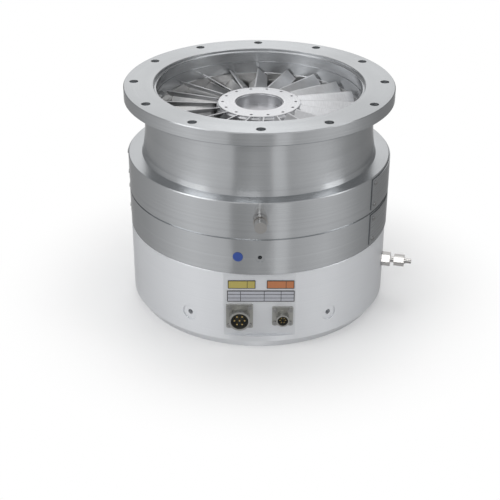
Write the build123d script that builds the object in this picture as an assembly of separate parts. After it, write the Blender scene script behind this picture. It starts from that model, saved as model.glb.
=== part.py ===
from build123d import *
from math import cos, sin, radians, asin, degrees
import os

os.makedirs("parts", exist_ok=True)

# ---- frame: mm, origin at the centre of the base face, pump axis +Z, connectors face -Y ----

# envelope: the housings stack from the base face up to the inlet
BASE_TOP = 104.0
MIDDLE_H = 47.0
SKIRT_H = 47.0
NECK_H = 71.0
FLANGE_T = 16.0
SKIRT_SEAM = BASE_TOP + MIDDLE_H
SKIRT_TOP = SKIRT_SEAM + SKIRT_H
FLANGE_FOOT = SKIRT_TOP + NECK_H
HEIGHT = FLANGE_FOOT + FLANGE_T
FLANGE_R = 167.5          # ISO-F DN 250 outside diameter 335
BOLT_EDGE = 12.5          # bolt circle diameter 310
BOLT_R = FLANGE_R - BOLT_EDGE
BOLT_HOLE_R = 5.5
BOLT_COUNT = 12
BOLT_ROOM = 12.5          # nut room between bolt circle and neck
RING_R = 165.0
SEAM_HALF = 1.0           # half height of the shadow groove at the skirt seam
SEAM_DEPTH = 1.6
THIN_SEAM = 0.5
NECK_TOP_R = BOLT_R - BOLT_ROOM
NECK_FLARE = ((52.0, 0.0), (34.0, 0.5), (18.0, 1.8), (6.0, 3.6), (0.0, 5.5))  # rise, swell
BASE_FOOT_IN = 7.0
BASE_FOOT_R = RING_R - BASE_FOOT_IN
BASE_CHAMFER_H = 11.0

# inlet opening
NECK_WALL = 9.5
LIP = 5.4
STACK_BORE_R = NECK_TOP_R - NECK_WALL
THROAT_R = STACK_BORE_R - LIP
RECESS_STEP = 2.9
RECESS_R = THROAT_R + RECESS_STEP
RECESS_DEPTH = 4.5
GROOVE_DROP = 17.0
GROOVE_Z = HEIGHT - GROOVE_DROP
STACK_DROP = 33.0
STACK_TOP = HEIGHT - STACK_DROP   # the casing lip presses the stator stack here
STACK_FIT = 0.4           # radial clearance of the stator stack in the casing
STACK_R = STACK_BORE_R - STACK_FIT
SPACER_WALL = 6.6
SPACER_IN_R = STACK_R - SPACER_WALL

# rotor
ROTOR_DROP = 26.0
ROTOR_TOP = HEIGHT - ROTOR_DROP
HUB_R = 54.0
HUB_WALL = 10.0
HUB_BORE_R = HUB_R - HUB_WALL
WEB_DROP = 24.0
WEB_BOTTOM = ROTOR_TOP - WEB_DROP
DRAG_DROP = 93.0
DRAG_TOP = ROTOR_TOP - DRAG_DROP
DRAG_FLANGE_T = 6.0
HUB_BOTTOM = DRAG_TOP - DRAG_FLANGE_T
CAP_MARGIN = 2.5
CAP_R = HUB_R - CAP_MARGIN
CAP_T = 2.0
CAP_RECESS_R = 30.0
CAP_RECESS_DEPTH = 12.0
CAP_SCREW_COUNT = 14
CAP_SCREW_EDGE = 5.9
CAP_SCREW_RING = CAP_R - CAP_SCREW_EDGE
CAP_SCREW_R = 1.9
TIP_GAP = 1.7
TIP_R = SPACER_IN_R - TIP_GAP
BLADE_T = 1.9
BLADE_ROOT_IN = 2.0       # depth of the blade roots in the hub
BLADE_PHASE = -2.7        # azimuth of the first blade of the top row
ROTOR_ROWS = (            # drop below the rotor top, height, root chord, tip chord
    (0.0, 10.5, 16.7, 13.5),
    (23.5, 9.5, 15.4, 13.0),
    (45.5, 8.0, 13.0, 12.4),
    (64.5, 7.0, 12.6, 12.4),
    (82.5, 6.0, 10.6, 12.0),
)
ROTOR_BLADE_COUNTS = (20, 20, 24, 24, 30)
STATOR_ROWS = (
    (13.0, 8.0, 14.0, 12.0),
    (36.0, 7.0, 12.6, 12.0),
    (56.0, 6.0, 10.6, 11.0),
    (74.5, 5.0, 10.0, 10.8),
)
STATOR_BLADE_COUNTS = (24, 24, 30, 30)
RIM_T = 2.0
RIM_LAP = 0.8
RIM_IN_R = SPACER_IN_R - RIM_LAP
STATOR_TIP_R = RIM_IN_R + 0.3
STATOR_HUB_GAP = 2.5
STATOR_HUB_BORE_R = HUB_R + STATOR_HUB_GAP
STATOR_HUB_WALL = 3.5
STATOR_HUB_R = STATOR_HUB_BORE_R + STATOR_HUB_WALL
MIDDLE_WALL = 10.1
MIDDLE_IN_R = STACK_R - MIDDLE_WALL
DRAG_WALL = 14.0
DRAG_ROOM = 2.7           # between the drag sleeve and the middle ring
DRUM_GAP = 0.8
DRUM_R = MIDDLE_IN_R - DRAG_ROOM - DRAG_WALL - DRUM_GAP
DRUM_T = 4.0
DRUM_H = 86.0
DRUM_BOTTOM = DRAG_TOP - DRUM_H
DRAG_SLEEVE_H = 90.0
DRAG_BOTTOM = DRAG_TOP - DRAG_SLEEVE_H
DRAG_GROOVE_COUNT = 12

# shaft and magnetic bearings
SHAFT_R = 14.0
JOURNAL_R = 16.5
MAGNET_GAP = 0.5
TOUCHDOWN_FIT = 0.08
SHAFT_BOTTOM = 18.0
SHAFT_FLANGE_R = 26.0
SHAFT_FLANGE_T = 6.0
COLUMN_R = 40.0
COLUMN_BORE_R = 32.0
COLUMN_HEADROOM = 9.0
COLUMN_TOP = WEB_BOTTOM - COLUMN_HEADROOM
COLUMN_FOOT_R = 58.0
COLUMN_FOOT_T = 9.0
POT_FIT = 0.3             # radial clearance of the stators in the column
POT_R = COLUMN_BORE_R - POT_FIT
UPPER_BEARING = (COLUMN_TOP - 54.0, COLUMN_TOP - 22.0)
MOTOR = (104.0, 160.0)
LOWER_BEARING = (66.0, 92.0)
THRUST_DISC = (40.0, 46.0)
THRUST_DISC_R = 28.0
THRUST_UPPER = (46.6, 58.0)
THRUST_LOWER = (28.0, 39.4)
TOUCHDOWN_UPPER = (COLUMN_TOP - 16.0, COLUMN_TOP - 7.0)
TOUCHDOWN_LOWER = (20.0, 27.0)
MOTOR_SLOT_COUNT = 9
BEARING_SLOT_COUNT = 8

# base interior
PLENUM_DEPTH = 42.0
PLENUM_FLOOR = BASE_TOP - PLENUM_DEPTH
FLOOR_T = 6.0
BAY_TOP = PLENUM_FLOOR - FLOOR_T
PLENUM_R = 140.0
COVER_R = 140.0
COVER_T = 5.0
COVER_FIT = 0.3
COVER_LAP = 12.0          # ledge of the base that the cover is screwed to
BAY_R = COVER_R - COVER_LAP
COVER_SCREW_COUNT = 8
COVER_SCREW_RING = COVER_R - COVER_LAP / 2
BOSS_R = 45.0
BOSS_BOTTOM = 9.0
BOSS_FLOOR_T = 5.0
BOSS_BORE_BOTTOM = BOSS_BOTTOM + BOSS_FLOOR_T
FOOT_HOLE_R = 4.25
FOOT_HOLE_COUNT = 4
FOOT_RING = (COVER_R + BASE_FOOT_R) / 2
FOOT_HOLE_DEPTH = 18.0
ORING_CORD = 2.0
ORING_GROOVE_W = 5.2
ORING_EDGE = 4.5
CASING_ORING_RING = STACK_BORE_R + ORING_EDGE
BASE_ORING_RING = PLENUM_R + ORING_EDGE + 1.5

# front flat with plates and connectors
FLAT_CUT = 5.8
FLAT_Y = RING_R - FLAT_CUT
LEDGE_Z = 18.0
PLATE_T = 0.8
PLATES = (                # node, x centre, z centre, width, height
    ("strip_plate_left", -21.5, BASE_TOP - 16.0, 33.0, 11.0),
    ("strip_plate_right", 25.0, BASE_TOP - 16.0, 33.0, 11.0),
    ("nameplate", 1.5, BASE_TOP - 32.0, 81.0, 15.0),
)
POWER = dict(x=-24.0, z=45.0, side=32.5, shell=12.7, reach=15.0, insert=10.6, pitch=24.6)
SIGNAL = dict(x=28.0, z=45.0, side=25.4, shell=7.95, reach=14.0, insert=6.3, pitch=18.3)
CONN_FLANGE_T = 3.0
CONN_TAIL = 18.0
CONN_FIT = 0.3
CONN_SCREW_R = 1.5

# small ports and tapped holes
SIDE_AZ = 31.0
SIDE_Z = 38.5
SIDE_HOLE_R = 3.4
SIDE_FACE_R = 10.0
SIDE_FACE_DEPTH = 1.5
SIDE_DEPTH = 14.0
EARTH_Z = BASE_TOP + MIDDLE_H / 2
EARTH_DEPTH = 15.0
EARTH_HOLE_R = 2.5
EARTH_FACE_R = 6.0
EARTH_DISC_X = -26.0
EARTH_DISC_R = 6.0
VENT_Z = SKIRT_SEAM + 26.0
VENT_FACE = RING_R - 0.5
VENT_SEAT_DEPTH = 14.5
VENT_SPIGOT = 12.5
VENT_SEAT_R = 4.3
VENT_BORE_R = 2.0
WATER_Z = 57.0
WATER_AZ = (77.0, 150.0)
WATER_FACE = RING_R - 1.0
FORELINE_Z = PLENUM_FLOOR + 14.0
FORELINE_R = 20.0
FORELINE_WALL = 2.5
FORELINE_CUT = 7.0
FORELINE_FLAT = RING_R - FORELINE_CUT
FORELINE_REACH = 48.0
FORELINE_END = FORELINE_FLAT + FORELINE_REACH
FORELINE_SIDE = 54.0
THREAD_FIT = 0.05

# curved cover plates on the two upper rings
COVERS = (                # node, first azimuth, last azimuth, bottom z, top z
    ("cover_plate_upper_right", 55.0, 125.0, SKIRT_SEAM + 3.5, SKIRT_TOP - 2.5),
    ("cover_plate_middle_right", 55.0, 125.0, BASE_TOP + 3.0, SKIRT_SEAM - 3.0),
    ("cover_plate_upper_left", -160.0, -90.0, SKIRT_SEAM + 3.5, SKIRT_TOP - 2.5),
    ("cover_plate_middle_left", -160.0, -90.0, BASE_TOP + 3.0, SKIRT_SEAM - 3.0),
)
COVER_PLATE_T = 1.0
COVER_PLATE_GAP = 0.3
COVER_PLATE_R = RING_R + COVER_PLATE_GAP
COVER_INSET_AZ = 2.4
COVER_INSET_Z = 6.5
TACK_R = 1.5
TACK_HEAD_R = 2.8
TACK_DEPTH = 8.0


def save(name, shape):
    export_step(shape, f"parts/{name}.step")


def tube(r_out, r_in, z0, z1):
    ring = Circle(r_out) - Circle(r_in) if r_in else Circle(r_out)
    return Pos(0, 0, z0) * extrude(ring, z1 - z0)


def lathe(points):
    return revolve(Plane.XZ * make_face(Polyline(*points, close=True)), Axis.Z)


def out(az, r, z):
    """Plane whose +Z leaves the pump at an azimuth counted from the front towards +X."""
    a = radians(az)
    d = (sin(a), -cos(a), 0)
    return Plane(origin=(r * d[0], r * d[1], z), x_dir=(cos(a), sin(a), 0), z_dir=d)


def peg(az, r0, r1, z, radius):
    return out(az, r0, z) * extrude(Circle(radius), r1 - r0)


def pipe(az, r0, r1, z, radius, bore):
    return out(az, r0, z) * extrude(Circle(radius) - Circle(bore), r1 - r0)


def hexagon(flats):
    return RegularPolygon(flats / 2, 6, major_radius=False)


def front(x, z, sketch, y0, y1):
    """Extrude a sketch out of the front flat, from distance y0 to y1 in front of the axis."""
    plane = Plane(origin=(x, -y0, z), x_dir=(1, 0, 0), z_dir=(0, -1, 0))
    return plane * extrude(sketch, y1 - y0)


def wedge(az0, az1, z0, z1):
    reach = 2 * RING_R
    spots = [out(a, reach, 0).origin for a in (az0, (az0 + az1) / 2, az1)]
    face = make_face(Polyline((0, 0), *[(p.X, p.Y) for p in spots], close=True))
    return Pos(0, 0, z0) * extrude(face, z1 - z0)


def polar(count, radius, z, phase=0.0):
    for i in range(count):
        yield Rot(0, 0, phase + 360 * i / count) * Pos(radius, 0, z)


def cover_tacks():
    for _, az0, az1, z0, z1 in COVERS:
        for az in (az0 + COVER_INSET_AZ, az1 - COVER_INSET_AZ):
            for z in (z0 + COVER_INSET_Z, z1 - COVER_INSET_Z):
                yield az, z


def tack_holes(z_low, z_high):
    depth = RING_R - TACK_DEPTH - 1
    return [peg(az, depth, RING_R + 5, z, TACK_R + CONN_FIT)
            for az, z in cover_tacks() if z_low < z < z_high]


def oring_groove(z, ring):
    half = ORING_GROOVE_W / 2
    return tube(ring + half, ring - half, z - 2 * ORING_CORD, z)


def oring(z, ring):
    cord = RegularPolygon(ORING_CORD, 8, major_radius=False, rotation=22.5)
    return revolve(Plane.XZ * Pos(ring, z - ORING_CORD) * cord, Axis.Z)


# ---- housings ----

def inlet_casing():
    body = lathe([
        (THROAT_R, HEIGHT - RECESS_DEPTH), (RECESS_R - 1, HEIGHT - RECESS_DEPTH),
        (RECESS_R, HEIGHT - RECESS_DEPTH + 1), (RECESS_R, HEIGHT - 0.8), (RECESS_R + 0.8, HEIGHT),
        (FLANGE_R - 1, HEIGHT), (FLANGE_R, HEIGHT - 1), (FLANGE_R, HEIGHT - FLANGE_T + 1),
        (FLANGE_R - 1, HEIGHT - FLANGE_T), (NECK_TOP_R + 1.5, HEIGHT - FLANGE_T),
        (NECK_TOP_R, HEIGHT - FLANGE_T - 1.5),
        *[(NECK_TOP_R + swell, SKIRT_TOP + rise) for rise, swell in NECK_FLARE],
        (RING_R - 1, SKIRT_TOP), (RING_R, SKIRT_TOP - 1), (RING_R, SKIRT_SEAM + SEAM_HALF),
        (RING_R - SEAM_DEPTH, SKIRT_SEAM + SEAM_HALF), (RING_R - SEAM_DEPTH, SKIRT_SEAM),
        (STACK_BORE_R, SKIRT_SEAM), (STACK_BORE_R, STACK_TOP), (THROAT_R, STACK_TOP),
        (THROAT_R, GROOVE_Z - 0.6), (THROAT_R + 0.8, GROOVE_Z - 0.6),
        (THROAT_R + 0.8, GROOVE_Z + 0.6), (THROAT_R, GROOVE_Z + 0.6),
    ])
    cuts = [spot * Cylinder(BOLT_HOLE_R, 2 * FLANGE_T) for spot in polar(BOLT_COUNT, BOLT_R, HEIGHT)]
    cuts += [peg(0, VENT_FACE, RING_R + 5, VENT_Z, 9.5), peg(0, VENT_FACE - VENT_SEAT_DEPTH, RING_R, VENT_Z, VENT_SEAT_R),
             peg(0, STACK_BORE_R - 3, VENT_FACE - VENT_SEAT_DEPTH + 1, VENT_Z, VENT_BORE_R)]
    return body - cuts - tack_holes(SKIRT_SEAM, SKIRT_TOP)


def middle_housing():
    body = lathe([
        (MIDDLE_IN_R, BASE_TOP), (RING_R - THIN_SEAM, BASE_TOP), (RING_R, BASE_TOP + THIN_SEAM),
        (RING_R, SKIRT_SEAM - SEAM_HALF), (RING_R - SEAM_DEPTH, SKIRT_SEAM - SEAM_HALF),
        (RING_R - SEAM_DEPTH, SKIRT_SEAM), (STACK_R, SKIRT_SEAM),
        (STACK_R, DRAG_TOP - DRAG_FLANGE_T), (MIDDLE_IN_R, DRAG_TOP - DRAG_FLANGE_T),
    ])
    disc_az = degrees(asin(EARTH_DISC_X / RING_R))
    cuts = [oring_groove(SKIRT_SEAM, CASING_ORING_RING), peg(0, RING_R - EARTH_DEPTH, RING_R + 5, EARTH_Z, EARTH_HOLE_R),
            peg(0, RING_R - 0.6, RING_R + 5, EARTH_Z, EARTH_FACE_R),
            peg(disc_az, RING_R - 0.4, RING_R + 5, EARTH_Z, EARTH_DISC_R + 0.2)]
    return body - cuts - tack_holes(BASE_TOP, SKIRT_SEAM)


def base_housing():
    body = lathe([
        (BOSS_R, BOSS_BOTTOM), (BOSS_R, BAY_TOP), (BAY_R, BAY_TOP), (BAY_R, COVER_T),
        (COVER_R + COVER_FIT, COVER_T), (COVER_R + COVER_FIT, 0), (BASE_FOOT_R, 0),
        (RING_R, BASE_CHAMFER_H), (RING_R, BASE_TOP - THIN_SEAM), (RING_R - THIN_SEAM, BASE_TOP),
        (PLENUM_R, BASE_TOP), (PLENUM_R, BASE_TOP - 12), (BAY_R, BASE_TOP - 24),
        (BAY_R, PLENUM_FLOOR), (COLUMN_BORE_R, PLENUM_FLOOR),
        (COLUMN_BORE_R, BOSS_BORE_BOTTOM), (0, BOSS_BORE_BOTTOM), (0, BOSS_BOTTOM),
    ])
    chord = 2 * RING_R
    cuts = [
        oring_groove(BASE_TOP, BASE_ORING_RING),
        Pos(0, -FLAT_Y - 20, (LEDGE_Z + BASE_TOP) / 2 + 5) * Box(chord, 40, BASE_TOP - LEDGE_Z + 10),
        Pos(0, FORELINE_FLAT + 20, (LEDGE_Z + BASE_TOP) / 2 + 5) * Box(chord, 40, BASE_TOP - LEDGE_Z + 10),
        peg(180, BAY_R - 15, RING_R + 5, FORELINE_Z, FORELINE_R + FORELINE_WALL + CONN_FIT),
    ]
    for c in (POWER, SIGNAL):
        cuts.append(front(c["x"], c["z"], Circle(c["shell"] + CONN_FIT), BAY_R - 15, RING_R + 5))
        cuts += [front(c["x"] + dx, c["z"] + dz, Circle(CONN_SCREW_R + CONN_FIT), FLAT_Y - 9, RING_R)
                 for dx, dz in screw_square(c["pitch"])]
    for az in (-SIDE_AZ, SIDE_AZ):
        cuts += [peg(az, RING_R - SIDE_DEPTH, RING_R + 5, SIDE_Z, SIDE_HOLE_R),
                 peg(az, RING_R - SIDE_FACE_DEPTH, RING_R + 5, SIDE_Z, SIDE_FACE_R)]
    for az in WATER_AZ:
        cuts += [peg(az, WATER_FACE - 13, RING_R + 5, WATER_Z, 4.5),
                 peg(az, WATER_FACE, RING_R + 5, WATER_Z, 10.5)]
    cuts += [spot * Cylinder(FOOT_HOLE_R, 2 * FOOT_HOLE_DEPTH) for spot in polar(FOOT_HOLE_COUNT, FOOT_RING, 0, 45)]
    cuts += [spot * Cylinder(2.3, 20) for spot in polar(COVER_SCREW_COUNT, COVER_SCREW_RING, 10, 22.5)]
    cuts += [foreline_screw(dx, dz, 2.8, FORELINE_FLAT - 11, FORELINE_FLAT + 5)
             for dx, dz in screw_square(FORELINE_SIDE - 12)]
    return body - cuts


def bottom_cover():
    plate = tube(COVER_R, 0, 0, COVER_T)
    cuts = [spot * Cylinder(2.3, 20) for spot in polar(COVER_SCREW_COUNT, COVER_SCREW_RING, 0, 22.5)]
    cuts += [spot * Cylinder(4.3, 5.0) for spot in polar(COVER_SCREW_COUNT, COVER_SCREW_RING, 0, 22.5)]
    return plate - cuts


def bottom_cover_screws():
    screw = tube(3.8, 0, 0.4, 2.5) + tube(2.0, 0, 2.5, 15.0)
    screw -= Pos(0, 0, 0.4) * extrude(hexagon(3.0), 1.4)
    return Compound([spot * screw for spot in polar(COVER_SCREW_COUNT, COVER_SCREW_RING, 0, 22.5)])


# ---- stator stack ----

def blade(row, r0, r1, lean):
    """One blade along +X; lean +1 drops its lower edge clockwise as seen from the inlet."""
    drop, height, root, tip = row
    top = ROTOR_TOP - drop
    faces = []
    for r in (r0, r1):
        share = (r - HUB_R) / (TIP_R - HUB_R)
        half = lean * (root + (tip - root) * share) / 2
        wide = lean * BLADE_T
        spots = [(half, top), (half - wide, top), (-half, top - height), (-half + wide, top - height)]
        plane = Plane(origin=(r, 0, 0), x_dir=(0, 1, 0), z_dir=(1, 0, 0))
        faces.append(plane * make_face(Polyline(*spots, close=True)))
    return loft(faces, ruled=True)


def blade_row(row, count, r0, r1, lean, phase):
    one = blade(row, r0, r1, lean)
    return [Rot(0, 0, phase + 360 * i / count) * one for i in range(count)]


def rim_low(row):
    return ROTOR_TOP - row[0] - row[1] / 2 - RIM_T / 2


def stator_disc(i):
    row = STATOR_ROWS[i]
    low, top = rim_low(row), ROTOR_TOP - row[0]
    rim = tube(STACK_R, RIM_IN_R, low, low + RIM_T)
    hub = tube(STATOR_HUB_R, STATOR_HUB_BORE_R, top - row[1] + 0.5, top - 0.5)
    blades = blade_row(row, STATOR_BLADE_COUNTS[i], STATOR_HUB_R - 1.5, STATOR_TIP_R, -1, 3.0 + 2 * i)
    return rim.fuse(hub, *blades)


def spacer(i):
    tops = [STACK_TOP] + [rim_low(row) for row in STATOR_ROWS]
    feet = [rim_low(row) + RIM_T for row in STATOR_ROWS] + [DRAG_TOP]
    return tube(STACK_R, SPACER_IN_R, feet[i], tops[i])


def drag_stator():
    bore = DRUM_R + DRUM_GAP
    body = tube(STACK_R, bore, DRAG_TOP - DRAG_FLANGE_T, DRAG_TOP)
    body += tube(bore + DRAG_WALL, bore, DRAG_BOTTOM, DRAG_TOP - DRAG_FLANGE_T)
    slot = Pos(bore, 0, (DRAG_TOP + DRAG_BOTTOM) / 2) * Rot(28, 0, 0) * Box(7, 9, 120)
    return body - [Rot(0, 0, 360 * i / DRAG_GROOVE_COUNT) * slot for i in range(DRAG_GROOVE_COUNT)]


# ---- rotor ----

def rotor():
    recess = ROTOR_TOP - CAP_T - CAP_RECESS_DEPTH
    hub = lathe([
        (CAP_RECESS_R - 1, ROTOR_TOP - CAP_T), (HUB_R - 1.5, ROTOR_TOP - CAP_T),
        (HUB_R, ROTOR_TOP - CAP_T - 1.5), (HUB_R, DRAG_TOP), (DRUM_R, DRAG_TOP),
        (DRUM_R, DRUM_BOTTOM), (DRUM_R - DRUM_T, DRUM_BOTTOM), (DRUM_R - DRUM_T, HUB_BOTTOM),
        (HUB_BORE_R, HUB_BOTTOM), (HUB_BORE_R, WEB_BOTTOM), (SHAFT_R, WEB_BOTTOM),
        (SHAFT_R, recess), (CAP_RECESS_R - 1, recess),
    ])
    blades = []
    for i, row in enumerate(ROTOR_ROWS):
        blades += blade_row(row, ROTOR_BLADE_COUNTS[i], HUB_R - BLADE_ROOT_IN, TIP_R, 1, BLADE_PHASE + 4 * i)
    hub = hub.fuse(*blades)
    holes = [spot * Cylinder(CAP_SCREW_R, 20) for spot in polar(CAP_SCREW_COUNT, CAP_SCREW_RING, ROTOR_TOP)]
    return hub - holes


def rotor_cap_ring():
    low = ROTOR_TOP - CAP_T
    ring = lathe([(CAP_RECESS_R, low), (CAP_R, low), (CAP_R, ROTOR_TOP - 0.5), (CAP_R - 0.5, ROTOR_TOP),
                  (CAP_RECESS_R + 0.5, ROTOR_TOP), (CAP_RECESS_R, ROTOR_TOP - 0.5)])
    return ring - [spot * Cylinder(CAP_SCREW_R, 6) for spot in polar(CAP_SCREW_COUNT, CAP_SCREW_RING, ROTOR_TOP)]


def rotor_cap_screws():
    plug = tube(CAP_SCREW_R, 0, -8.0, -0.6) - Pos(0, 0, -2.2) * extrude(hexagon(1.5), 1.6)
    return Compound([spot * plug for spot in polar(CAP_SCREW_COUNT, CAP_SCREW_RING, ROTOR_TOP)])


def rotor_shaft():
    recess = ROTOR_TOP - CAP_T - CAP_RECESS_DEPTH
    slim = SHAFT_R - 2
    points = [(0, SHAFT_BOTTOM), (SHAFT_R - 1, SHAFT_BOTTOM), (SHAFT_R, SHAFT_BOTTOM + 1),
              (SHAFT_R, LOWER_BEARING[0] - 3)]
    for z0, z1 in (LOWER_BEARING, MOTOR, UPPER_BEARING):
        points += [(slim, z0 - 3), (slim, z0 - 2), (JOURNAL_R, z0 - 2), (JOURNAL_R, z1 + 2), (slim, z1 + 2)]
    points += [(slim, TOUCHDOWN_UPPER[0] - 2), (SHAFT_R, TOUCHDOWN_UPPER[0] - 2),
               (SHAFT_R, WEB_BOTTOM - SHAFT_FLANGE_T), (SHAFT_FLANGE_R, WEB_BOTTOM - SHAFT_FLANGE_T),
               (SHAFT_FLANGE_R, WEB_BOTTOM), (SHAFT_R, WEB_BOTTOM), (SHAFT_R, recess + 2),
               (SHAFT_R - 1, recess + 3), (0, recess + 3)]
    return lathe(points)


# ---- bearing column ----

def bearing_column():
    body = tube(COLUMN_R, COLUMN_BORE_R, PLENUM_FLOOR, COLUMN_TOP)
    foot = tube(COLUMN_FOOT_R, COLUMN_BORE_R, PLENUM_FLOOR, PLENUM_FLOOR + COLUMN_FOOT_T)
    holes = [spot * Cylinder(3.3, 40) for spot in polar(8, 50.0, PLENUM_FLOOR)]
    return body + foot - holes


def column_screws():
    screw = tube(5.0, 0, COLUMN_FOOT_T, COLUMN_FOOT_T + 6) + tube(3.0, 0, 0.5, COLUMN_FOOT_T)
    screw -= Pos(0, 0, COLUMN_FOOT_T + 3) * extrude(hexagon(5.0), 3)
    return Compound([spot * screw for spot in polar(8, 50.0, PLENUM_FLOOR)])


def magnet_stator(span, slots):
    bore = JOURNAL_R + MAGNET_GAP
    body = tube(POT_R, bore, *span)
    slot = Pos(bore + 5, 0, sum(span) / 2) * Box(7, 3.5, span[1] - span[0] + 2)
    return body - [Rot(0, 0, 360 * i / slots) * slot for i in range(slots)]


def ring_in_column(span, bore):
    return tube(POT_R, bore, *span)


# ---- fittings ----

def screw_square(pitch):
    return [(sx * pitch / 2, sz * pitch / 2) for sx in (-1, 1) for sz in (-1, 1)]


def connector_shell(c):
    flange = Rectangle(c["side"], c["side"])
    flange = fillet(flange.vertices(), 2.0)
    holes = [Pos(dx, dz) * Circle(CONN_SCREW_R + CONN_FIT) for dx, dz in screw_square(c["pitch"])]
    lip = FLAT_Y + CONN_FLANGE_T
    body = front(c["x"], c["z"], flange - Circle(c["insert"]) - holes, FLAT_Y, lip)
    rim = Circle(c["shell"]) - Circle(c["insert"])
    body += front(c["x"], c["z"], rim, FLAT_Y - CONN_TAIL, FLAT_Y)
    body += front(c["x"], c["z"], rim, lip, FLAT_Y + c["reach"])
    groove = Circle(c["shell"] + 1) - Circle(c["shell"] - 0.7)
    for y in range(3):
        low = lip + 4.5 + 2.2 * y
        body -= front(c["x"], c["z"], groove, low, low + 1.0)
    return body


def pin_spots(c):
    if c is POWER:
        return [(0.0, 0.0)] + [(6.2 * cos(radians(60 * i)), 6.2 * sin(radians(60 * i))) for i in range(6)]
    return [(3.3 * cos(radians(60 * i)), 3.3 * sin(radians(60 * i))) for i in range(6)]


def connector_insert(c):
    face = Circle(c["insert"])
    return front(c["x"], c["z"], face, FLAT_Y - CONN_TAIL, FLAT_Y + c["reach"] - 8)


def connector_pins(c):
    radius = 0.9 if c is POWER else 0.55
    low = FLAT_Y + c["reach"] - 8
    return Compound([front(c["x"] + dx, c["z"] + dz, Circle(radius), low, low + 6.0)
                     for dx, dz in pin_spots(c)])


def connector_screws(c):
    top = FLAT_Y + CONN_FLANGE_T
    screws = []
    for dx, dz in screw_square(c["pitch"]):
        x, z = c["x"] + dx, c["z"] + dz
        body = front(x, z, Circle(2.7), top, top + 1.9)
        body += front(x, z, Circle(CONN_SCREW_R), FLAT_Y - 7, top)
        body -= front(x, z, Rectangle(3.4, 0.8), top + 1.2, top + 3)
        body -= front(x, z, Rectangle(0.8, 3.4), top + 1.2, top + 3)
        screws.append(body)
    return Compound(screws)


def flat_plate(x, z, width, height):
    outline = fillet(Rectangle(width, height).vertices(), 0.8)
    return front(x, z, outline, FLAT_Y, FLAT_Y + PLATE_T)


def earth_disc():
    disc_az = degrees(asin(EARTH_DISC_X / RING_R))
    return peg(disc_az, RING_R - 0.4, RING_R + 0.4, EARTH_Z, EARTH_DISC_R)


def vent_port():
    body = pipe(0, VENT_FACE, VENT_FACE + 8, VENT_Z, 8.5, VENT_BORE_R)
    body += pipe(0, VENT_FACE - VENT_SPIGOT, VENT_FACE, VENT_Z, VENT_SEAT_R - CONN_FIT, VENT_BORE_R)
    body += pipe(0, VENT_FACE + 8, VENT_FACE + 18, VENT_Z, 5.5, VENT_BORE_R)
    return body


def vent_cap():
    low, high = VENT_FACE + 8.6, VENT_FACE + 21.5
    body = peg(0, low, high, VENT_Z, 7.25) - peg(0, low - 1, high - 2.4, VENT_Z, 5.5 + THREAD_FIT)
    ribs = [out(0, low - 1, VENT_Z) * Rot(0, 0, 15 * i) * Pos(7.45, 0) * extrude(Circle(0.55), 9.5)
            for i in range(24)]
    return body - ribs


def water_body(az):
    face = WATER_FACE
    body = out(az, face, WATER_Z) * extrude(hexagon(16.0) - Circle(2.0), 12)
    for r0, r1, radius in ((face - 12, face, 4.2), (face + 12, face + 32, 4.0), (face + 32, face + 39, 3.2)):
        body += pipe(az, r0, r1, WATER_Z, radius, 2.0)
    return body


def water_nut(az):
    face = WATER_FACE
    nut = out(az, face + 17.0, WATER_Z) * extrude(hexagon(14.0) - Circle(4.0 + THREAD_FIT), 13)
    cone = out(az, face + 17.0, WATER_Z) * extrude(Circle(7.75), 13)
    return nut & cone


def foreline_screw(dx, dz, radius, y0, y1):
    return peg(180, y0, y1, FORELINE_Z, radius).moved(Location((dx, 0, dz)))


def foreline_port():
    outer = FORELINE_R + FORELINE_WALL
    end = FORELINE_END
    plane = out(180, FORELINE_FLAT, FORELINE_Z)
    plate = plane * extrude(fillet(Rectangle(FORELINE_SIDE, FORELINE_SIDE).vertices(), 6) - Circle(FORELINE_R), 8)
    body = plate + pipe(180, FORELINE_FLAT - 14, FORELINE_FLAT, FORELINE_Z, outer, FORELINE_R)
    body += pipe(180, FORELINE_FLAT + 8, end, FORELINE_Z, outer, FORELINE_R)
    body += pipe(180, end - 3, end, FORELINE_Z, 27.5, FORELINE_R)
    taper = out(180, end - 4.3, FORELINE_Z) * Cone(22.5, 27.5, 1.3, align=(Align.CENTER, Align.CENTER, Align.MIN))
    body += taper - peg(180, end - 6, end, FORELINE_Z, FORELINE_R)
    recess = pipe(180, end - 3, end + 1, FORELINE_Z, 20.6, FORELINE_R - 1)
    holes = [foreline_screw(dx, dz, 2.8, FORELINE_FLAT - 1, FORELINE_FLAT + 9)
             for dx, dz in screw_square(FORELINE_SIDE - 12)]
    return body - recess - holes


def foreline_screws():
    top = FORELINE_FLAT + 8
    screws = []
    for dx, dz in screw_square(FORELINE_SIDE - 12):
        body = foreline_screw(dx, dz, 4.2, top, top + 5) + foreline_screw(dx, dz, 2.5, top - 17, top)
        spot = Plane(origin=(dx, top + 2.5, FORELINE_Z + dz), x_dir=(1, 0, 0), z_dir=(0, 1, 0))
        screws.append(body - spot * extrude(hexagon(4.0), 3))
    return Compound(screws)


def cover_plate(az0, az1, z0, z1):
    skin = tube(COVER_PLATE_R + COVER_PLATE_T, COVER_PLATE_R, z0, z1) & wedge(az0, az1, z0 - 1, z1 + 1)
    return skin - [peg(az, RING_R - 3, RING_R + 5, z, TACK_R + CONN_FIT) for az, z in cover_tacks()
                   if az0 < az < az1 and z0 < z < z1]


def cover_screws():
    head = COVER_PLATE_R + COVER_PLATE_T
    screws = []
    for az, z in cover_tacks():
        body = peg(az, head, head + 1.3, z, TACK_HEAD_R) + peg(az, RING_R - TACK_DEPTH, head, z, TACK_R)
        body -= out(az, head + 0.7, z) * extrude(Rectangle(3.2, 0.7), 1)
        screws.append(body)
    return Compound(screws)


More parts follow.
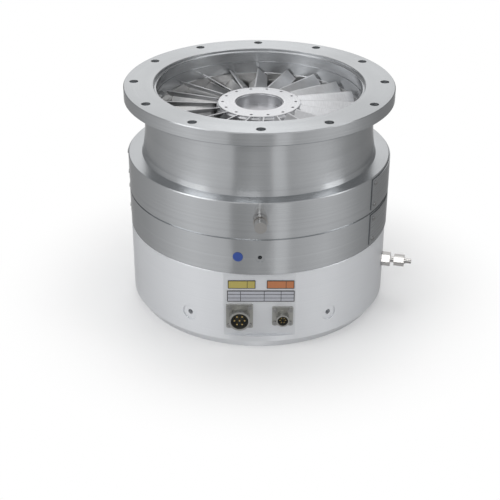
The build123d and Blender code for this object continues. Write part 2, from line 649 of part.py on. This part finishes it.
save("inlet_casing", inlet_casing())
save("middle_housing", middle_housing())
save("base_housing", base_housing())
save("bottom_cover", bottom_cover())
save("bottom_cover_screws", bottom_cover_screws())
save("casing_oring", oring(SKIRT_SEAM, CASING_ORING_RING))
save("base_oring", oring(BASE_TOP, BASE_ORING_RING))
for index in range(len(STATOR_ROWS)):
    save(f"stator_disc_{index + 1}", stator_disc(index))
for index in range(len(STATOR_ROWS) + 1):
    save(f"stator_spacer_{index + 1}", spacer(index))
save("drag_stator", drag_stator())
save("rotor", rotor())
save("rotor_cap_ring", rotor_cap_ring())
save("rotor_cap_screws", rotor_cap_screws())
save("rotor_shaft", rotor_shaft())
save("thrust_disc", tube(THRUST_DISC_R, SHAFT_R, *THRUST_DISC))
save("bearing_column", bearing_column())
save("column_screws", column_screws())
save("motor_stator", magnet_stator(MOTOR, MOTOR_SLOT_COUNT))
save("upper_bearing_stator", magnet_stator(UPPER_BEARING, BEARING_SLOT_COUNT))
save("lower_bearing_stator", magnet_stator(LOWER_BEARING, BEARING_SLOT_COUNT))
save("thrust_stator_upper", ring_in_column(THRUST_UPPER, SHAFT_R + 3))
save("thrust_stator_lower", ring_in_column(THRUST_LOWER, SHAFT_R + 3))
save("touchdown_bearing_upper", ring_in_column(TOUCHDOWN_UPPER, SHAFT_R + TOUCHDOWN_FIT))
save("touchdown_bearing_lower", ring_in_column(TOUCHDOWN_LOWER, SHAFT_R + TOUCHDOWN_FIT))
for label, spec in (("power", POWER), ("signal", SIGNAL)):
    save(f"{label}_connector_shell", connector_shell(spec))
    save(f"{label}_connector_insert", connector_insert(spec))
    save(f"{label}_connector_pins", connector_pins(spec))
    save(f"{label}_connector_screws", connector_screws(spec))
for node, *box in PLATES:
    save(node, flat_plate(*box))
save("earth_disc", earth_disc())
save("vent_port", vent_port())
save("vent_cap", vent_cap())
for label, az in zip(("right", "rear"), WATER_AZ):
    save(f"water_fitting_{label}", water_body(az))
    save(f"water_nut_{label}", water_nut(az))
save("foreline_port", foreline_port())
save("foreline_screws", foreline_screws())
for node, *box in COVERS:
    save(node, cover_plate(*box))
save("cover_screws", cover_screws())
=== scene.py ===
from math import pi, radians

import bpy
from mathutils import Matrix, Vector


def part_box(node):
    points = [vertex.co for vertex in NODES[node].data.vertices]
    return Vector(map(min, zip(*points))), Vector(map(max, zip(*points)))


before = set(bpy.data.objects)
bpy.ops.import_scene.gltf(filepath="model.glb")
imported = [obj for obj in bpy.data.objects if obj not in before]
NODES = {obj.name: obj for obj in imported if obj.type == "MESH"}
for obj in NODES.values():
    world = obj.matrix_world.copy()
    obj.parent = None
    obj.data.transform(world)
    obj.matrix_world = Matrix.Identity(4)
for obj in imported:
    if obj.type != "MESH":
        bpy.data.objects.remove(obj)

bl_info = {
    "name": "Turbomolecular pump",
    "version": (1, 0, 0),
    "blender": (4, 5, 0),
    "location": "3D View > Sidebar > Pump",
    "description": "Finishes, fine pieces and stage of a turbomolecular vacuum pump",
    "category": "Object",
}

WHITE = (1.0, 1.0, 1.0, 1.0)

# colours of the pieces that have no setting in the sidebar
SCREW_STEEL = (0.42, 0.42, 0.42, 1.0)
DARK_STEEL = (0.20, 0.20, 0.21, 1.0)
GROUND_STEEL = (0.55, 0.55, 0.57, 1.0)
VARNISH = (0.16, 0.12, 0.10, 1.0)
INSERT_PLASTIC = (0.012, 0.016, 0.014, 1.0)
CONTACT_GOLD = (0.80, 0.60, 0.26, 1.0)
SEAL_RUBBER = (0.015, 0.015, 0.016, 1.0)
PLATE_SILVER = (0.40, 0.41, 0.45, 1.0)
PLATE_INK = (0.02, 0.02, 0.02, 1.0)
FLOOR_GREY = (0.94, 0.94, 0.94, 1.0)

# patterns: noise cycles per metre, and depth of the bump in metres
TURNING_MARKS = 1500.0
MILLING_ACROSS = 900.0
MILLING_ALONG = 220.0
CLOUDS = 14.0
SPECKLE = 900.0
MOTTLE = 260.0
PLATE_MOTTLE = 400.0
MARK_DEPTH = 0.0001
MILLING_STRENGTH = 0.08

# a plate's border and the width of its ruled lines, in metres
PLATE_BORDER = 0.0009
PLATE_PEN = 0.00035

ALONG_THE_AXIS = 0.25     # turns the stretched reflections upright on a turned wall
FLOOR_FADE_START = 0.17   # distance from the axis where the floor begins to turn white
FLOOR_FADE_END = 0.36


# ---- shader maths ----

class Wire:
    """One node output, so that shader maths reads as plain arithmetic."""

    def __init__(self, graph, socket):
        self.graph = graph
        self.socket = socket

    def maths(self, operation, *values):
        return self.graph.node("ShaderNodeMath", {"operation": operation}, dict(enumerate(values)))

    def __add__(self, other):
        return self.maths("ADD", self, other)

    def __radd__(self, other):
        return self.maths("ADD", other, self)

    def __sub__(self, other):
        return self.maths("SUBTRACT", self, other)

    def __rsub__(self, other):
        return self.maths("SUBTRACT", other, self)

    def __mul__(self, other):
        return self.maths("MULTIPLY", self, other)

    def __rmul__(self, other):
        return self.maths("MULTIPLY", other, self)

    def __truediv__(self, other):
        return self.maths("DIVIDE", self, other)

    def __lt__(self, other):
        return self.maths("LESS_THAN", self, other)

    def __abs__(self):
        return self.maths("ABSOLUTE", self)

    def larger(self, other):
        return self.maths("MAXIMUM", self, other)

    def smaller(self, other):
        return self.maths("MINIMUM", self, other)

    def root(self):
        return self.maths("SQRT", self)

    def smooth(self, low, high):
        """0 below low, 1 above high, with a soft step between."""
        return self.graph.node("ShaderNodeMapRange", {"interpolation_type": "SMOOTHSTEP"},
                               {"Value": self, "From Min": low, "From Max": high})


class Graph:
    """A node tree that is written from top to bottom."""

    def __init__(self, tree):
        self.tree = tree
        tree.nodes.clear()

    def node(self, kind, settings=None, inputs=None, output=0):
        made = self.tree.nodes.new(kind)
        for name, value in (settings or {}).items():
            if name == "stops":
                self.fill_ramp(made.color_ramp, value)
            else:
                setattr(made, name, value)
        for key, value in (inputs or {}).items():
            if isinstance(value, Wire):
                self.tree.links.new(value.socket, made.inputs[key])
            else:
                made.inputs[key].default_value = value
        return Wire(self, made.outputs[output]) if made.outputs else None

    @staticmethod
    def fill_ramp(ramp, stops):
        while len(ramp.elements) < len(stops):
            ramp.elements.new(1.0)
        for element, (spot, grey) in zip(ramp.elements, stops):
            element.position = spot
            element.color = (grey, grey, grey, 1.0)

    def blend(self, factor, first, second):
        """Colour mix: first at factor 0, second at factor 1."""
        return self.node("ShaderNodeMix", {"data_type": "RGBA"}, {0: factor, 6: first, 7: second}, 2)

    def split(self, vector):
        """The x, y and z of a vector."""
        parts = self.node("ShaderNodeSeparateXYZ", None, {0: vector}).socket.node
        return tuple(Wire(self, part) for part in parts.outputs)

    def place(self):
        """The x, y and z of the shaded point in the piece's own frame, in metres."""
        return self.split(self.node("ShaderNodeTexCoord", output=3))

    def noise(self, x, y, z, scale, detail=2.0):
        spot = self.node("ShaderNodeCombineXYZ", None, {0: x, 1: y, 2: z})
        return self.node("ShaderNodeTexNoise", None, {"Vector": spot, "Scale": scale, "Detail": detail})

    def surface(self, **inputs):
        labels = {key.replace("_", " ").title().replace("Ior", "IOR"): value for key, value in inputs.items()}
        shader = self.node("ShaderNodeBsdfPrincipled", None, labels)
        self.node("ShaderNodeOutputMaterial", None, {"Surface": shader})


def new_material(name):
    material = bpy.data.materials.new(name)
    material.use_nodes = True
    return material, Graph(material.node_tree)


def shade(colour, amount):
    return tuple(min(1.0, c * amount) for c in colour[:3]) + (1.0,)


# ---- finishes ----

def turned_metal(name, colour, roughness, streak=0.5, metallic=1.0, lie=0.0, marks=0.05, contrast=1.0):
    """Lathe-turned metal: fine rings round the pump axis, which stretch its reflections."""
    material, g = new_material(name)
    x, y, z = g.place()
    radius = (x * x + y * y).root()
    rings = g.noise(radius * TURNING_MARKS, z * TURNING_MARKS, 0.0, 1.0, 3.0)
    cloud = g.noise(x, y, z, CLOUDS)
    tone = (rings * 0.6 + cloud * 0.4).smooth(0.3, 0.7)
    bump = g.node("ShaderNodeBump", None, {"Strength": marks, "Distance": MARK_DEPTH, "Height": rings})
    paint = g.blend(tone, shade(colour, 1.0 - 0.08 * contrast), shade(colour, 1.0 + 0.05 * contrast))
    g.surface(base_color=paint, metallic=metallic,
              roughness=roughness - 0.04 * contrast + 0.08 * contrast * rings, normal=bump,
              anisotropic=streak, anisotropic_rotation=lie)
    return material


def milled_metal(name, colour, roughness):
    """Fine straight cutter marks along the surface."""
    material, g = new_material(name)
    x, y, z = g.place()
    radius = (x * x + y * y).root()
    marks = g.noise(radius * MILLING_ACROSS, z * MILLING_ALONG, 0.0, 1.0)
    tone = marks.smooth(0.35, 0.65)
    bump = g.node("ShaderNodeBump", None,
                  {"Strength": MILLING_STRENGTH, "Distance": MARK_DEPTH, "Height": marks})
    g.surface(base_color=g.blend(tone, shade(colour, 0.94), shade(colour, 1.04)), metallic=1.0,
              roughness=roughness + 0.06 * marks, normal=bump)
    return material


def satin_metal(name, colour, roughness):
    """Small steel or plated pieces with a faint speckle."""
    material, g = new_material(name)
    x, y, z = g.place()
    speckle = g.noise(x, y, z, SPECKLE)
    g.surface(base_color=g.blend(speckle, shade(colour, 0.9), shade(colour, 1.08)), metallic=1.0,
              roughness=roughness + 0.1 * speckle)
    return material


def plain_finish(name, colour, roughness, metallic=0.0, coat=0.0):
    """Moulded or painted surface with a very slight unevenness."""
    material, g = new_material(name)
    x, y, z = g.place()
    mottle = g.noise(x, y, z, MOTTLE)
    g.surface(base_color=g.blend(mottle, shade(colour, 0.93), shade(colour, 1.06)), metallic=metallic,
              roughness=roughness - 0.04 + 0.08 * mottle, coat_weight=coat)
    return material


def bare_plate(name, node, field, lines_x=(), lines_z=()):
    """A blank plate: a coloured field inside a dark border, with ruled lines and no lettering."""
    low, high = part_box(node)
    material, g = new_material(name)
    x, y, z = g.place()
    inside = ((x - (low[0] + PLATE_BORDER)).smaller((high[0] - PLATE_BORDER) - x)
              .smaller((z - (low[2] + PLATE_BORDER)).smaller((high[2] - PLATE_BORDER) - z)))
    ink = inside < 0.0
    for share in lines_x:
        ink = ink.larger(abs(x - (low[0] + share * (high[0] - low[0]))) < PLATE_PEN)
    for share in lines_z:
        ink = ink.larger(abs(z - (low[2] + share * (high[2] - low[2]))) < PLATE_PEN)
    mottle = g.noise(x, y, z, PLATE_MOTTLE)
    paint = g.blend(mottle, shade(field, 0.92), shade(field, 1.05))
    g.surface(base_color=g.blend(ink, paint, PLATE_INK), metallic=0.0, roughness=0.34 + 0.06 * mottle,
              coat_weight=0.25)
    return material


def pale_floor(name, colour):
    """Plain floor that runs into the white background."""
    material, g = new_material(name)
    x, y, z = g.place()
    distance = (x * x + y * y).root()
    diffuse = g.node("ShaderNodeBsdfDiffuse", None, {"Color": colour})
    light = g.node("ShaderNodeEmission", None, {"Color": WHITE, "Strength": 1.0})
    camera_ray = g.node("ShaderNodeLightPath")
    mix = g.node("ShaderNodeMixShader", None,
                 {0: distance.smooth(FLOOR_FADE_START, FLOOR_FADE_END) * camera_ray, 1: diffuse, 2: light})
    g.node("ShaderNodeOutputMaterial", None, {"Surface": mix})
    return material


def dress(material, *names):
    """Give one finish to CAD nodes."""
    for name in names:
        piece = NODES[name]
        if piece.material_slots:
            for slot in piece.material_slots:
                slot.material = material
        else:
            piece.data.materials.append(material)


def nodes_named(*starts):
    return [name for name in sorted(NODES) if name.startswith(starts)]


# ---- settings ----

def colour_setting(name, description, default):
    return bpy.props.FloatVectorProperty(name=name, description=description, subtype="COLOR", size=4,
                                         min=0.0, max=1.0, default=default)


def share_setting(name, description, default):
    return bpy.props.FloatProperty(name=name, description=description, subtype="FACTOR", min=0.0, max=1.0,
                                   default=default)


class PumpFinishes(bpy.types.PropertyGroup):
    """Colours and roughness of the pump's surfaces."""

    casing: colour_setting("Casing", "Turned aluminium of the flange, neck and rings",
                           (0.53, 0.545, 0.56, 1.0))
    casing_rough: share_setting("Casing roughness", "Roughness of the turned casing", 0.25)
    base: colour_setting("Base", "Brighter aluminium of the base", (0.71, 0.725, 0.75, 1.0))
    base_rough: share_setting("Base roughness", "Roughness of the base", 0.28)
    rotor: colour_setting("Rotor", "Milled aluminium of the bladed rotor", (0.56, 0.565, 0.58, 1.0))
    stator: colour_setting("Stator", "Aluminium of the discs and spacers", (0.60, 0.60, 0.60, 1.0))
    steel: colour_setting("Fittings", "Stainless steel of ports and fittings", (0.50, 0.49, 0.48, 1.0))
    plating: colour_setting("Connector plating", "Grey plating of the connector shells",
                            (0.46, 0.46, 0.44, 1.0))
    yellow: colour_setting("Left strip", "Blank yellow plate", (0.42, 0.35, 0.09, 1.0))
    orange: colour_setting("Right strip", "Blank orange plate", (0.44, 0.16, 0.06, 1.0))
    blue: colour_setting("Earth disc", "Blank blue disc beside the earth hole", (0.02, 0.06, 0.28, 1.0))


class PumpStage(bpy.types.PropertyGroup):
    """Settings of the camera and the floor."""

    camera_distance: bpy.props.FloatProperty(name="Camera distance", description="From the pump axis",
                                             default=1.3108, unit="LENGTH")
    camera_height: bpy.props.FloatProperty(name="Camera height", description="Above the floor",
                                           default=0.75496, unit="LENGTH")
    camera_side: bpy.props.FloatProperty(name="Camera offset", description="Sideways from the pump axis",
                                         default=-0.01866, unit="LENGTH")
    tilt: bpy.props.FloatProperty(name="Tilt", description="Below the horizon", subtype="ANGLE",
                                  default=radians(28.3112))
    roll: bpy.props.FloatProperty(name="Roll", description="About the line of sight", subtype="ANGLE",
                                  default=radians(0.2376))
    turn: bpy.props.FloatProperty(name="Turn", description="About the vertical", subtype="ANGLE",
                                  default=radians(-0.346))
    lens: bpy.props.FloatProperty(name="Lens", description="Focal length in mm on a 36 mm sensor",
                                  default=80.297)
    floor_size: bpy.props.FloatProperty(name="Floor", description="Side of the floor", default=14.0,
                                        unit="LENGTH")


# ---- pieces ----

class FinishOperator:
    bl_options = {"REGISTER", "UNDO"}


class PUMP_OT_housings(FinishOperator, bpy.types.Operator):
    """Turned flange, neck and rings, and the brighter base"""

    bl_idname = "pump.housings"
    bl_label = "Housings"

    def execute(self, context):
        f = context.scene.pump_finishes
        dress(turned_metal("turned_casing", f.casing, f.casing_rough, 0.9, lie=ALONG_THE_AXIS),
              "inlet_casing", "middle_housing")
        dress(turned_metal("bright_base", f.base, f.base_rough, 0.8, metallic=0.45, lie=ALONG_THE_AXIS,
                           marks=0.004, contrast=0.3), "base_housing", "bottom_cover")
        return {"FINISHED"}


class PUMP_OT_rotor(FinishOperator, bpy.types.Operator):
    """Bladed rotor with its cap ring, balance screws and shaft"""

    bl_idname = "pump.rotor"
    bl_label = "Rotor"

    def execute(self, context):
        f = context.scene.pump_finishes
        dress(milled_metal("milled_rotor", f.rotor, 0.36), "rotor")
        dress(turned_metal("turned_cap_ring", shade(f.rotor, 1.25), 0.26, 0.5), "rotor_cap_ring")
        dress(satin_metal("dark_screw_steel", DARK_STEEL, 0.40), "rotor_cap_screws")
        dress(satin_metal("ground_shaft_steel", GROUND_STEEL, 0.25), "rotor_shaft", "thrust_disc",
              *nodes_named("touchdown_bearing"))
        return {"FINISHED"}


class PUMP_OT_stator_stack(FinishOperator, bpy.types.Operator):
    """Stator discs, spacer rings, drag stage and bearing column"""

    bl_idname = "pump.stator_stack"
    bl_label = "Stator stack"

    def execute(self, context):
        f = context.scene.pump_finishes
        dress(milled_metal("stator_aluminium", f.stator, 0.38), *nodes_named("stator_disc"))
        dress(turned_metal("spacer_aluminium", shade(f.stator, 1.15), 0.35, 0.4),
              *nodes_named("stator_spacer"), "drag_stator", "bearing_column")
        return {"FINISHED"}


class PUMP_OT_magnets(FinishOperator, bpy.types.Operator):
    """Motor and magnetic bearing stators inside the column"""

    bl_idname = "pump.magnets"
    bl_label = "Motor and magnetic bearings"

    def execute(self, context):
        dress(plain_finish("varnished_laminations", VARNISH, 0.45, 0.6), "motor_stator",
              "upper_bearing_stator", "lower_bearing_stator", "thrust_stator_upper", "thrust_stator_lower")
        return {"FINISHED"}


class PUMP_OT_connectors(FinishOperator, bpy.types.Operator):
    """Two round connectors with insert and contacts; their screws are finished with the other screws"""

    bl_idname = "pump.connectors"
    bl_label = "Connectors"

    def execute(self, context):
        f = context.scene.pump_finishes
        dress(satin_metal("connector_plating", f.plating, 0.34),
              "power_connector_shell", "signal_connector_shell")
        dress(plain_finish("insert_plastic", INSERT_PLASTIC, 0.45),
              "power_connector_insert", "signal_connector_insert")
        dress(satin_metal("contact_gold", CONTACT_GOLD, 0.25),
              "power_connector_pins", "signal_connector_pins")
        return {"FINISHED"}


class PUMP_OT_plates(FinishOperator, bpy.types.Operator):
    """Blank plates on the front flat and the blue earth disc"""

    bl_idname = "pump.plates"
    bl_label = "Blank plates"

    def execute(self, context):
        f = context.scene.pump_finishes
        dress(bare_plate("silver_plate", "nameplate", PLATE_SILVER, (0.20, 0.55, 0.80), (0.34, 0.67)),
              "nameplate")
        dress(bare_plate("yellow_plate", "strip_plate_left", f.yellow, (0.70,)), "strip_plate_left")
        dress(bare_plate("orange_plate", "strip_plate_right", f.orange, (0.70,)), "strip_plate_right")
        dress(plain_finish("blue_disc", f.blue, 0.35, 0.0, 0.3), "earth_disc")
        return {"FINISHED"}


class PUMP_OT_fittings(FinishOperator, bpy.types.Operator):
    """Vent port, water fittings and foreline port"""

    bl_idname = "pump.fittings"
    bl_label = "Fittings"

    def execute(self, context):
        f = context.scene.pump_finishes
        dress(satin_metal("stainless_fittings", f.steel, 0.16), "vent_port", "vent_cap", "foreline_port",
              *nodes_named("water_fitting", "water_nut"))
        return {"FINISHED"}


class PUMP_OT_cover_plates(FinishOperator, bpy.types.Operator):
    """Thin curved sheets on the two upper rings"""

    bl_idname = "pump.cover_plates"
    bl_label = "Cover plates"

    def execute(self, context):
        f = context.scene.pump_finishes
        dress(turned_metal("brushed_sheet", shade(f.casing, 0.92), 0.28, 0.8, lie=ALONG_THE_AXIS),
              *nodes_named("cover_plate"))
        return {"FINISHED"}


class PUMP_OT_screws_and_seals(FinishOperator, bpy.types.Operator):
    """Screws of the bottom cover, column, cover plates, foreline port and connectors, and the two sealing
    rings
    """

    bl_idname = "pump.screws_and_seals"
    bl_label = "Screws and seals"

    def execute(self, context):
        dress(satin_metal("screw_steel", SCREW_STEEL, 0.32), "bottom_cover_screws", "column_screws",
              "cover_screws", "foreline_screws", "power_connector_screws", "signal_connector_screws")
        dress(plain_finish("seal_rubber", SEAL_RUBBER, 0.6), "casing_oring", "base_oring")
        return {"FINISHED"}


# ---- stage ----

SOFTBOXES = (             # name, place, aim height, width, height, power in watts
    ("left_softbox", (-1.5, -0.7, 1.3), 0.15, 1.0, 1.4, 9.0),
    ("right_softbox", (1.6, -0.5, 1.0), 0.15, 0.7, 1.2, 5.0),
    ("top_softbox", (0.1, 0.5, 1.8), 0.25, 1.4, 1.0, 9.0),
    ("front_softbox", (-0.35, -1.9, 1.5), 0.2, 0.8, 0.5, 5.0),
)


def area_light(name, spot, aim, width, height, power):
    """A rectangular light that faces the pump axis at the aim height."""
    lamp = bpy.data.lights.new(name, "AREA")
    lamp.shape = "RECTANGLE"
    lamp.size, lamp.size_y, lamp.energy = width, height, power
    lamp_object = bpy.data.objects.new(name, lamp)
    lamp_object.location = spot
    lamp_object.rotation_euler = (Vector((0, 0, aim)) - Vector(spot)).to_track_quat("-Z", "Y").to_euler()
    bpy.context.scene.collection.objects.link(lamp_object)
    return lamp_object


STRIPS = (                # azimuth from the front in degrees, level of the light there
    (-180.0, 1.15), (-170.0, 0.95), (-158.0, 0.32), (-118.0, 0.42), (-95.0, 0.55), (-60.0, 0.80),
    (-26.0, 0.68), (-24.0, 0.36), (-9.0, 0.42), (-7.0, 0.47), (11.0, 0.46), (14.0, 0.80), (24.0, 0.78),
    (28.0, 0.54), (60.0, 0.72), (90.0, 0.45), (120.0, 0.30), (156.0, 0.26), (170.0, 0.95), (180.0, 1.15),
)


def studio_world(scene):
    """White to the camera; to the metal, levels of grey that change with the azimuth."""
    world = bpy.data.worlds.new("studio")
    world.use_nodes = True
    scene.world = world
    g = Graph(world.node_tree)
    x, y, _ = g.split(g.node("ShaderNodeTexCoord"))
    turn = x.maths("ARCTAN2", x, 0.0 - y) / (2 * pi) + 0.5
    stops = [((azimuth + 180.0) / 360.0, level) for azimuth, level in STRIPS]
    grey = g.node("ShaderNodeValToRGB", {"stops": stops}, {0: turn})
    camera_ray = g.node("ShaderNodeLightPath")
    colour = g.blend(camera_ray, grey, WHITE)
    background = g.node("ShaderNodeBackground", None, {"Color": colour, "Strength": 1.0})
    g.node("ShaderNodeOutputWorld", None, {"Surface": background})


class PUMP_OT_stage(FinishOperator, bpy.types.Operator):
    """Floor, lights, background and camera"""

    bl_idname = "pump.stage"
    bl_label = "Stage"

    def execute(self, context):
        scene, s = context.scene, context.scene.pump_stage
        half = s.floor_size / 2
        mesh = bpy.data.meshes.new("floor")
        mesh.from_pydata([(-half, -half, 0), (half, -half, 0), (half, half, 0), (-half, half, 0)], [],
                         [(0, 1, 2, 3)])
        floor = bpy.data.objects.new("floor", mesh)
        mesh.materials.append(pale_floor("pale_floor", FLOOR_GREY))
        floor.visible_glossy = False
        scene.collection.objects.link(floor)
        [area_light(*row) for row in SOFTBOXES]
        studio_world(scene)
        camera = bpy.data.objects.new("camera", bpy.data.cameras.new("camera"))
        camera.data.sensor_width, camera.data.lens = 36.0, s.lens
        spot = Vector((s.camera_side, -s.camera_distance, s.camera_height))
        camera.matrix_world = (Matrix.Translation(spot) @ Matrix.Rotation(s.turn, 4, "Z")
                               @ Matrix.Rotation(pi / 2 - s.tilt, 4, "X") @ Matrix.Rotation(s.roll, 4, "Z"))
        scene.collection.objects.link(camera)
        scene.camera = camera
        scene.view_settings.view_transform = "Standard"
        return {"FINISHED"}


PIECE_OPERATORS = (
    PUMP_OT_housings, PUMP_OT_rotor, PUMP_OT_stator_stack, PUMP_OT_magnets, PUMP_OT_connectors,
    PUMP_OT_plates, PUMP_OT_fittings, PUMP_OT_cover_plates, PUMP_OT_screws_and_seals, PUMP_OT_stage,
)


class PUMP_PT_sidebar(bpy.types.Panel):
    """Lists the pump's pieces and their settings"""

    bl_idname = "PUMP_PT_sidebar"
    bl_label = "Turbomolecular pump"
    bl_space_type = "VIEW_3D"
    bl_region_type = "UI"
    bl_category = "Pump"

    def draw(self, context):
        for group in (context.scene.pump_finishes, context.scene.pump_stage):
            for name in group.bl_rna.properties.keys():
                if name not in {"rna_type", "name"}:
                    self.layout.prop(group, name)
        for operator in PIECE_OPERATORS:
            self.layout.operator(operator.bl_idname)


CLASSES = (PumpFinishes, PumpStage) + PIECE_OPERATORS + (PUMP_PT_sidebar,)


def register():
    for one in CLASSES:
        bpy.utils.register_class(one)
    bpy.types.Scene.pump_finishes = bpy.props.PointerProperty(type=PumpFinishes)
    bpy.types.Scene.pump_stage = bpy.props.PointerProperty(type=PumpStage)


def unregister():
    del bpy.types.Scene.pump_stage
    del bpy.types.Scene.pump_finishes
    for one in reversed(CLASSES):
        bpy.utils.unregister_class(one)


def main():
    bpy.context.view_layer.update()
    register()
    for operator in PIECE_OPERATORS:
        group, name = operator.bl_idname.split(".")
        getattr(getattr(bpy.ops, group), name)()


if __name__ == "__main__":
    main()
